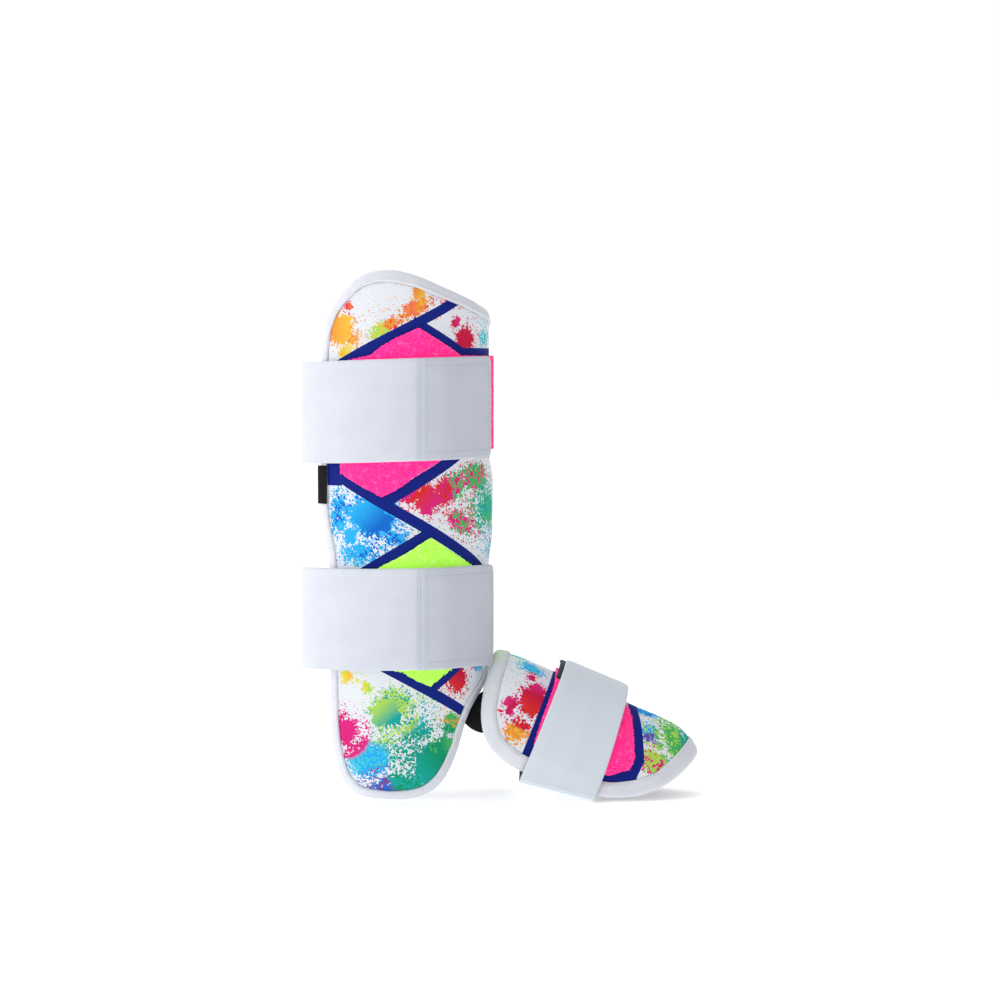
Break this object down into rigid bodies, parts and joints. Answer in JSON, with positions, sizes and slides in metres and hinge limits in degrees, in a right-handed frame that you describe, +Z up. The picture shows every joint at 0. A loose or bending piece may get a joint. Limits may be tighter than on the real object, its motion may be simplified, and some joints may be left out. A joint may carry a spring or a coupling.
{
  "type": "batters leg guard",
  "caption": "Padded shin shell with two elastic straps and a padded foot shell with one strap, joined by a short elastic link.",
  "frame": {"origin": "middle of the guard's box, on the floor that it stands on", "axes": "+Z up along the leg, +X to the toes, +Y to the inner side of the leg"},
  "size_m": [0.2532, 0.1204, 0.3334],
  "materials": {
    "print_fabric": "white air mesh with a paint splatter print, over foam",
    "binding_tape": "smooth white folded tape",
    "pink_loop": "brushed pink loop fabric",
    "lime_loop": "brushed lime loop fabric",
    "white_elastic": "smooth white woven elastic",
    "black_elastic": "matte black woven elastic"
  },
  "bodies": {
    "root": {"shin_pad": "print_fabric", "shin_binding": "binding_tape", "upper_loop_panel": "pink_loop", "lower_loop_panel": "lime_loop", "upper_strap": "white_elastic", "upper_strap_tab": "white_elastic", "lower_strap": "white_elastic", "lower_strap_tab": "white_elastic", "side_label": "black_elastic", "foot_pad": "print_fabric", "foot_binding": "binding_tape", "foot_loop_panel": "pink_loop", "foot_strap": "white_elastic", "foot_strap_tab": "white_elastic", "ankle_link": "black_elastic"}
  },
  "joints": []
}
